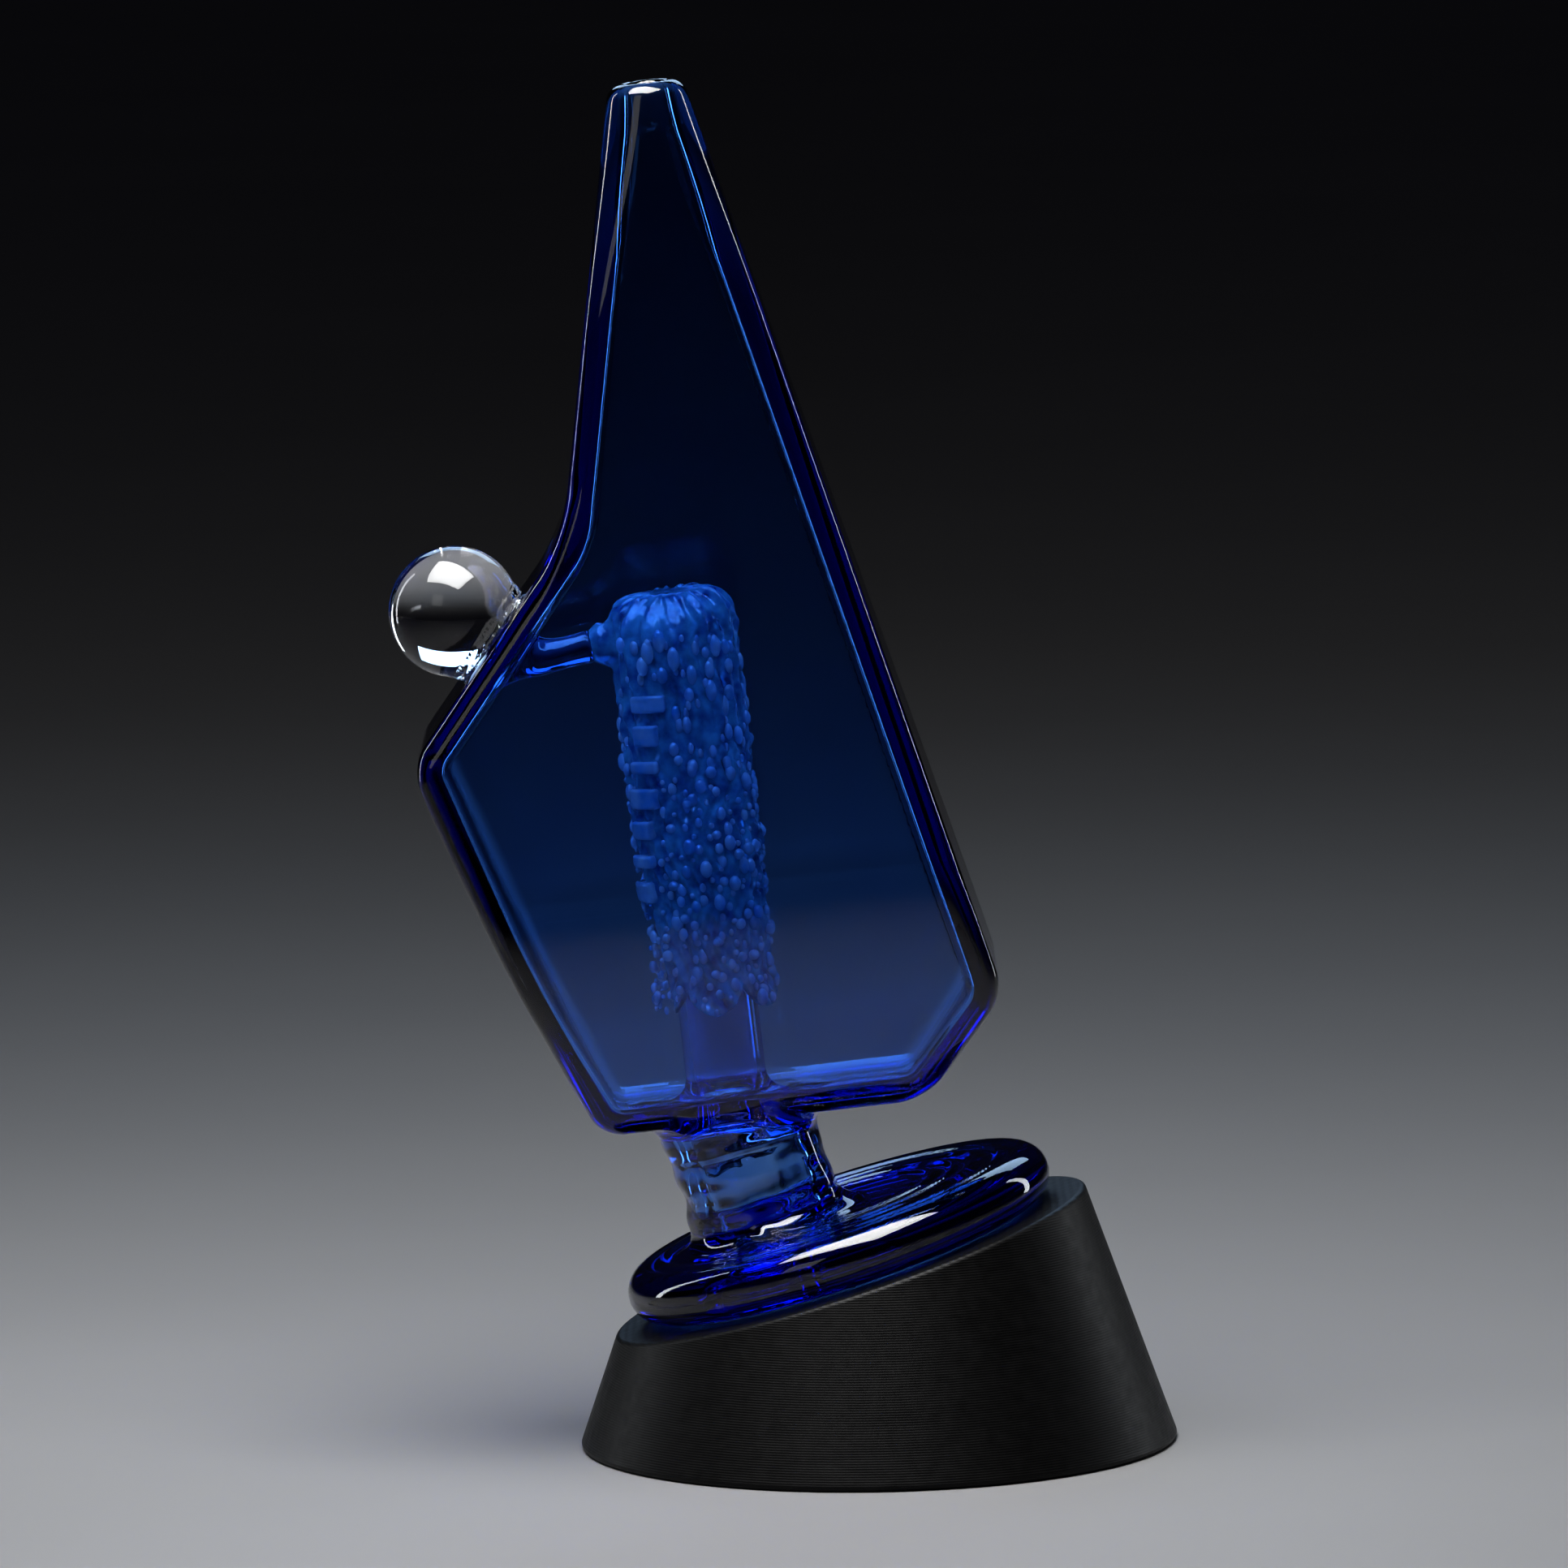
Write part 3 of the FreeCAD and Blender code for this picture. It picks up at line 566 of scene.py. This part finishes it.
def net(field, low, high, pitch):
    """Points and faces where the field is zero, inside a box."""
    counts = [int(math.ceil((high[i] - low[i]) / pitch)) + 1 for i in range(3)]
    lines = [low[i] + pitch * np.arange(counts[i]) for i in range(3)]
    grid = field(lines[0][:, None, None], lines[1][None, :, None], lines[2][None, None, :])
    limit = 3 * pitch
    level_set = openvdb.FloatGrid(background=limit)
    level_set.copyFromArray(np.clip(grid, -limit, limit).astype(np.float32))
    level_set.gridClass = openvdb.GridClass.LEVEL_SET
    points, triangles, quads = level_set.convertToPolygons(isovalue=0.0, adaptivity=0.0)
    faces = [tuple(face[::-1]) for face in triangles.tolist() + quads.tolist()]
    return points.astype(np.float64) * pitch + np.array(low), faces


def settle(field, points, pitch):
    """Moves points onto the field's zero surface. Returns them and the surface's normals."""
    rounds = 3
    least_steepness = 0.05
    tiny = 1e-9
    for _ in range(rounds):
        value, gradient = slope_of(field, points)
        steepness = np.maximum((gradient ** 2).sum(axis=1), least_steepness)
        move = gradient * (value / steepness)[:, None]
        length = np.linalg.norm(move, axis=1)
        held = np.minimum(1, pitch / 2 / np.maximum(length, tiny))
        points = points - move * held[:, None]
    gradient = slope_of(field, points)[1]
    return points, gradient / np.maximum(np.linalg.norm(gradient, axis=1), tiny)[:, None]


def piece_from(name, field, low, high, pitch):
    """A mesh object of the field's zero surface, in metres."""
    points, faces = net(field, low, high, pitch)
    points, normals = settle(field, points, pitch)
    mesh = bpy.data.meshes.new(name)
    mesh.from_pydata((points * MM).tolist(), [], faces)
    mesh.validate()
    mesh.shade_smooth()
    mesh.normals_split_custom_set_from_vertices(normals.tolist())
    piece = bpy.data.objects.new(name, mesh)
    bpy.context.scene.collection.objects.link(piece)
    print(f"{name}: {len(mesh.vertices)} points, {len(mesh.polygons)} faces")
    return piece


def room_round(*nodes):
    """The lowest and highest corner, in millimetres, of a box round some CAD nodes."""
    margin = 1.5
    boxes = [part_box(node) for node in nodes]
    low = [min(box[0][i] for box in boxes) / MM - margin for i in range(3)]
    high = [max(box[1][i] for box in boxes) / MM + margin for i in range(3)]
    return low, high


# ---------------------------------------------------------------- material tools

# Most of a noise texture's values lie between these two.
NOISE_LOW = 0.3
NOISE_HIGH = 0.7


def new_material(name):
    """A node material. Returns it, its tree, its main shader and its output."""
    material = bpy.data.materials.new(name)
    material.use_nodes = True
    tree = material.node_tree
    shader = tree.nodes["Principled BSDF"]
    return material, tree, shader, tree.nodes["Material Output"]


def noise(tree, scale, detail=2.0):
    """A noise texture in the piece's own frame, in metres. Returns its value socket."""
    place = tree.nodes.new("ShaderNodeTexCoord")
    texture = tree.nodes.new("ShaderNodeTexNoise")
    texture.inputs["Scale"].default_value = scale
    texture.inputs["Detail"].default_value = detail
    tree.links.new(place.outputs["Object"], texture.inputs["Vector"])
    return texture.outputs["Fac"]


def ramp(tree, value, low, high):
    """A noise value taken to a colour from low to high."""
    colours = tree.nodes.new("ShaderNodeValToRGB")
    colours.color_ramp.elements[0].position = NOISE_LOW
    colours.color_ramp.elements[1].position = NOISE_HIGH
    colours.color_ramp.elements[0].color = (*low, 1)
    colours.color_ramp.elements[1].color = (*high, 1)
    tree.links.new(value, colours.inputs["Fac"])
    return colours.outputs["Color"]


def spread(tree, value, low, high):
    """A noise value taken to a number from low to high."""
    mapped = tree.nodes.new("ShaderNodeMapRange")
    mapped.inputs["From Min"].default_value = NOISE_LOW
    mapped.inputs["From Max"].default_value = NOISE_HIGH
    mapped.inputs["To Min"].default_value = low
    mapped.inputs["To Max"].default_value = high
    tree.links.new(value, mapped.inputs["Value"])
    return mapped.outputs["Result"]


def bump(tree, height, shader, depth, strength):
    """Drives a shader's normal from a height. The depth is in metres."""
    node = tree.nodes.new("ShaderNodeBump")
    node.inputs["Distance"].default_value = depth
    node.inputs["Strength"].default_value = strength
    tree.links.new(height, node.inputs["Height"])
    tree.links.new(node.outputs["Normal"], shader.inputs["Normal"])


def dress(piece, material):
    """Gives a piece its only material."""
    piece.data.materials.clear()
    piece.data.materials.append(material)


# ---------------------------------------------------------------- materials

def glass_material(name, tints, mottle, through, depth_colour, depth_density, polish, ripple):
    """Solid glass: a tinted surface, and colour that deepens with the path through it.

    The tints and the polish are the lowest and highest of the surface's colour and roughness.
    The mottle is the scale and detail of the tint's noise, through is the share of light that
    goes in, and the ripple is a bump's noise scale, its depth in metres and its strength.
    """
    refraction = 1.47
    polish_scale = 130
    ripple_detail = 1.0
    ripple_scale, ripple_depth, ripple_strength = ripple
    material, tree, shader, output = new_material(name)
    shader.inputs["IOR"].default_value = refraction
    shader.inputs["Transmission Weight"].default_value = through
    tree.links.new(ramp(tree, noise(tree, *mottle), *tints), shader.inputs["Base Color"])
    tree.links.new(spread(tree, noise(tree, polish_scale), *polish), shader.inputs["Roughness"])
    bump(tree, noise(tree, ripple_scale, ripple_detail), shader, ripple_depth, ripple_strength)
    depth = tree.nodes.new("ShaderNodeVolumeAbsorption")
    depth.inputs["Color"].default_value = (*depth_colour, 1)
    depth.inputs["Density"].default_value = depth_density
    tree.links.new(depth.outputs["Volume"], output.inputs["Volume"])
    return material


def cobalt_glass():
    """Deep blue glass, nearly colourless at its surface: the colour comes with depth."""
    return glass_material(
        "cobalt_glass",
        tints=((0.82, 0.86, 1.0), (0.96, 0.97, 1.0)),
        mottle=(60, 2.0),
        through=1.0,
        depth_colour=(0.09, 0.535, 0.935),
        depth_density=540,
        polish=(0.0, 0.02),
        ripple=(90, 0.0004, 0.12),
    )


def percolator_glass():
    """The percolator's half-opaque blue glass, mottled from near black to pale blue."""
    return glass_material(
        "percolator_glass",
        tints=((0.004, 0.10, 0.36), (0.3, 0.88, 1.0)),
        mottle=(480, 4.0),
        through=0.54,
        depth_colour=(0.1, 0.5, 0.95),
        depth_density=120,
        polish=(0.02, 0.14),
        ripple=(900, 0.0003, 0.35),
    )


def seed_glass():
    """The paler, half-opaque glass of the beads and the ladder."""
    return glass_material(
        "seed_glass",
        tints=((0.15, 0.55, 0.9), (1.0, 1.0, 1.0)),
        mottle=(330, 3.0),
        through=0.5,
        depth_colour=(0.3, 0.7, 0.95),
        depth_density=60,
        polish=(0.0, 0.08),
        ripple=(900, 0.0002, 0.3),
    )


def clear_glass():
    """The marble's clear glass, a very little blue in its depth."""
    return glass_material(
        "clear_glass",
        tints=((0.97, 0.98, 1.0), (1.0, 1.0, 1.0)),
        mottle=(60, 2.0),
        through=1.0,
        depth_colour=(0.9, 0.93, 1.0),
        depth_density=12,
        polish=(0.0, 0.015),
        ripple=(120, 0.0003, 0.05),
    )


def printed_black():
    """Black printed plastic: fine level layers, with broad changes of sheen."""
    material, tree, shader, _ = new_material("printed_black")
    blotches = noise(tree, 160, 4.0)
    darker, lighter = (0.0022, 0.0021, 0.0023), (0.0036, 0.0034, 0.0036)
    tree.links.new(ramp(tree, blotches, darker, lighter), shader.inputs["Base Color"])
    tree.links.new(spread(tree, noise(tree, 700, 4.0), 0.4, 0.5), shader.inputs["Roughness"])
    place = tree.nodes.new("ShaderNodeTexCoord")
    layers = tree.nodes.new("ShaderNodeTexWave")
    layers.bands_direction = "Z"
    layers.inputs["Scale"].default_value = 1120
    layers.inputs["Distortion"].default_value = 0.6
    layers.inputs["Detail Scale"].default_value = 0.4
    tree.links.new(place.outputs["Object"], layers.inputs["Vector"])
    bump(tree, layers.outputs["Fac"], shader, depth=0.00005, strength=0.35)
    shader.inputs["Specular IOR Level"].default_value = 0.1
    return material


def silicone_black():
    """Matte silicone with a fine moulded skin."""
    material, tree, shader, _ = new_material("silicone_black")
    darker, lighter = (0.012, 0.012, 0.013), (0.024, 0.024, 0.026)
    tree.links.new(ramp(tree, noise(tree, 80), darker, lighter), shader.inputs["Base Color"])
    tree.links.new(spread(tree, noise(tree, 900, 3.0), 0.6, 0.8), shader.inputs["Roughness"])
    bump(tree, noise(tree, 2500, 3.0), shader, depth=0.00005, strength=0.5)
    return material


def pale_floor():
    """A plain pale matte floor, very slightly uneven in tone."""
    material, tree, shader, _ = new_material("pale_floor")
    darker, lighter = (0.60, 0.60, 0.61), (0.66, 0.66, 0.67)
    tree.links.new(ramp(tree, noise(tree, 6, 4.0), darker, lighter), shader.inputs["Base Color"])
    shader.inputs["Roughness"].default_value = 0.75
    return material


# ---------------------------------------------------------------- pieces

def make_blown_glass(material):
    """The fused cobalt glass as one piece."""
    nodes = (
        "body_shell", "mouth_lip", "neck_weld", "neck_tube", "foot_weld", "foot_disc",
        "uptake_tube", "uptake_weld", "brace_pad", "brace_rod",
    )
    pitch = 0.45
    piece = piece_from("blown_glass", glass_field, *room_round(*nodes), pitch)
    dress(piece, material)
    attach(piece, "glass")
    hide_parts(*nodes)


def make_percolator(material):
    """The percolator's sleeve, dome and skirt, with the knuckle at the end of the brace."""
    nodes = ("percolator_sleeve", "percolator_dome", "percolator_skirt", "brace_knuckle")
    pitch = 0.25
    piece = piece_from("percolator_sleeve_glass", percolator_field, *room_round(*nodes), pitch)
    dress(piece, material)
    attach(piece, "glass")
    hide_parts(*nodes)


def make_rungs(material):
    """The ladder down the sleeve's left front."""
    pitch = 0.25
    piece = piece_from("percolator_ladder", rung_field, *room_round("percolator_rungs"), pitch)
    dress(piece, material)
    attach(piece, "glass")
    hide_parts("percolator_rungs")


def bead_fits(turn, up, radius):
    """Whether a bead there is clear of the ladder, the brace, the notch and the skirt's edge."""
    by_ladder = RUNG_TOP + LADDER_OVERRUN > up > RUNG_TOP - RUNG_COUNT * RUNG_PITCH
    from_ladder = abs(turned_from(turn, rung_turn(up))) * SLEEVE_RADIUS
    if by_ladder and from_ladder < LADDER_CLEARANCE + radius:
        return False
    from_knuckle = abs(turned_from(turn, math.pi)) * SLEEVE_RADIUS
    if math.hypot(from_knuckle, up - KNUCKLE_HEIGHT) < KNUCKLE_CLEARANCE + radius:
        return False
    from_notch = abs(turned_from(turn, NOTCH_TURN)) * SLEEVE_RADIUS
    if math.hypot(from_notch, up - NOTCH_HEIGHT) < NOTCH_CLEARANCE + radius:
        return False
    return up - radius > skirt_edge(turn)


def add_bead(work, turn, up, radius, stretch):
    """Adds one bead, half sunk in the sleeve's skin and stretched along the sleeve."""
    skin = SLEEVE_RADIUS - sleeve_taper(up) + sleeve_wrinkle(turn, up)
    away = skin + radius * BEAD_PROUD
    x, z = flask.world(UPTAKE_SHIFT + away * math.cos(turn), up)
    place = Matrix.Translation(Vector((x, away * math.sin(turn), z)) * MM)
    lean = Matrix.Rotation(-math.radians(FLASK_LEAN), 4, "Y")
    facing = Matrix.Rotation(turn, 4, "Z")
    shape = Matrix.Diagonal((BEAD_FLATNESS, 1.0, stretch, 1.0))
    bmesh.ops.create_icosphere(
        work, subdivisions=2, radius=radius * MM, matrix=place @ lean @ facing @ shape
    )


def make_beads(material):
    """Seed beads on the sleeve's skin: one or none in each cell of a shaken grid."""
    random = np.random.default_rng(RANDOM_SEED + 1)
    work = bmesh.new()
    for row in range(BEAD_ROWS):
        for column in range(BEAD_COLUMNS):
            shake = random.uniform(-BEAD_SHAKE, BEAD_SHAKE, 2)
            stretch = random.uniform(*BEAD_STRETCH)
            radius = BEAD_SMALLEST + BEAD_SIZE_RANGE * random.random() ** BEAD_SIZE_POWER
            turn = ((column + row % 2 / 2 + shake[0]) / BEAD_COLUMNS - 0.5) * 2 * math.pi
            up = SKIRT_BOTTOM + BEAD_START + (row + shake[1]) * BEAD_PITCH
            high_up = float(step_up(up, *BEAD_THIN_SPAN))
            left_out = random.random() < BEAD_MISSING + BEAD_MISSING_GAIN * high_up
            if not left_out and bead_fits(turn, up, radius):
                add_bead(work, turn, up, radius, stretch + BEAD_STRETCH_GAIN * high_up)
    for face in work.faces:
        face.smooth = True
    mesh = bpy.data.meshes.new("percolator_seeds")
    work.to_mesh(mesh)
    work.free()
    piece = bpy.data.objects.new("percolator_seeds", mesh)
    bpy.context.scene.collection.objects.link(piece)
    dress(piece, material)
    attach(piece, "glass")
    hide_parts("percolator_beads")


def add_seam_bubbles(piece):
    """Tiny air bubbles caught along the marble's seam: closed hollows inside the glass."""
    random = np.random.default_rng(RANDOM_SEED)
    work = bmesh.new()
    work.from_mesh(piece.data)
    for number in range(BUBBLE_COUNT):
        shake = random.uniform(-BUBBLE_SHAKE, BUBBLE_SHAKE)
        turn = 2 * math.pi * number / BUBBLE_COUNT + shake
        away = random.uniform(*BUBBLE_AWAY)
        rise = random.uniform(*BUBBLE_RISE)
        radius = random.uniform(*BUBBLE_RADIUS)
        x, z = shoulder.world(away * math.cos(turn) - MARBLE_ALONG, rise)
        place = Matrix.Translation(Vector((x, away * math.sin(turn), z)) * MM)
        made = bmesh.ops.create_icosphere(work, subdivisions=2, radius=radius * MM, matrix=place)
        hollow = {face for vert in made["verts"] for face in vert.link_faces}
        bmesh.ops.reverse_faces(work, faces=list(hollow))
        for face in hollow:
            face.smooth = True
    work.to_mesh(piece.data)
    work.free()


def make_marble(material):
    """The clear marble on the shoulder, with its seam and bubbles."""
    pitch = 0.3
    piece = piece_from("marble", marble_field, *room_round("marble", "marble_weld"), pitch)
    add_seam_bubbles(piece)
    dress(piece, material)
    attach(piece, "glass")
    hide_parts("marble", "marble_weld")


# ---------------------------------------------------------------- stage

def make_floor(material):
    """A wide level floor under the object."""
    reach = 6.0
    mesh = bpy.data.meshes.new("floor")
    corners = [(-reach, -reach, 0), (reach, -reach, 0), (reach, reach, 0), (-reach, reach, 0)]
    mesh.from_pydata(corners, [], [(0, 1, 2, 3)])
    floor = bpy.data.objects.new("floor", mesh)
    bpy.context.scene.collection.objects.link(floor)
    dress(floor, material)


def make_light(name, place, target, size, power, colour=(1, 1, 1), on_floor=False):
    """A soft rectangular light at a place, pointing at a target, in metres and watts.

    A light that isn't on the floor lights no matte surface: it is seen only in reflections
    and through glass.
    """
    data = bpy.data.lights.new(name, "AREA")
    data.shape = "RECTANGLE"
    data.size, data.size_y = size
    data.energy = power
    data.color = colour
    light = bpy.data.objects.new(name, data)
    light.location = place
    aim = Vector(target) - Vector(place)
    light.rotation_euler = aim.to_track_quat("-Z", "Y").to_euler()
    light.visible_camera = False
    light.visible_diffuse = on_floor
    bpy.context.scene.collection.objects.link(light)


def make_lights():
    """One soft light for the floor, and others for the reflections in the glass."""
    middle = (cad_box[0] + cad_box[1]) / 2
    floor_level = (0, 0, 0)
    foot_level = (0, 0, 0.03)
    cool = (0.9, 0.95, 1.0)
    blue = (0.45, 0.68, 1.0)
    make_light("key", (-0.05, -0.06, 0.32), floor_level, (0.20, 0.16), 0.55, on_floor=True)
    make_light("key_glint", (-0.07, -0.09, 0.46), middle, (0.42, 0.30), 6.5)
    make_light("fill", (-0.55, -0.85, 0.55), middle, (0.36, 0.36), 0.4)
    make_light("left_strip", (-0.42, 0.22, 0.16), middle, (0.04, 0.5), 0.45, cool)
    make_light("right_strip", (0.42, 0.26, 0.16), middle, (0.05, 0.5), 0.55, cool)
    make_light("back_glint", (0.0, 0.55, 0.40), foot_level, (0.5, 0.2), 1.0, blue)


def make_world():
    """A nearly black surrounding."""
    world = bpy.data.worlds.new("world")
    world.use_nodes = True
    shade = world.node_tree.nodes["Background"]
    shade.inputs["Color"].default_value = (0.003, 0.003, 0.004, 1)
    shade.inputs["Strength"].default_value = 1.0
    bpy.context.scene.world = world


def make_camera():
    """A long lens, a little above the object and rolled a little, far in front of it."""
    distance = 1.5
    elevation = math.radians(7.0)
    roll = math.radians(1.2)
    frame_width = 0.18257
    target = Vector((-0.00956, 0, 0.0777))
    data = bpy.data.cameras.new("camera")
    data.sensor_width = 36
    data.lens = data.sensor_width * distance / frame_width
    data.clip_start = 0.05
    data.clip_end = 30
    forward = Vector((0, math.cos(elevation), -math.sin(elevation)))
    level = Vector((1, 0, 0))
    upright = level.cross(forward)
    right = level * math.cos(roll) - upright * math.sin(roll)
    up = level * math.sin(roll) + upright * math.cos(roll)
    camera = bpy.data.objects.new("camera", data)
    axes = Matrix((right, up, -forward)).transposed().to_4x4()
    camera.matrix_world = Matrix.Translation(target - forward * distance) @ axes
    bpy.context.scene.collection.objects.link(camera)
    bpy.context.scene.camera = camera


bpy.context.scene.view_settings.view_transform = "Standard"
make_camera()
make_lights()
make_world()
make_floor(pale_floor())
dress(frame["nodes"]["stand_body"], printed_black())
dress(frame["nodes"]["seat_ring"], silicone_black())
make_blown_glass(cobalt_glass())
make_percolator(percolator_glass())
seed_material = seed_glass()
make_rungs(seed_material)
make_beads(seed_material)
make_marble(clear_glass())
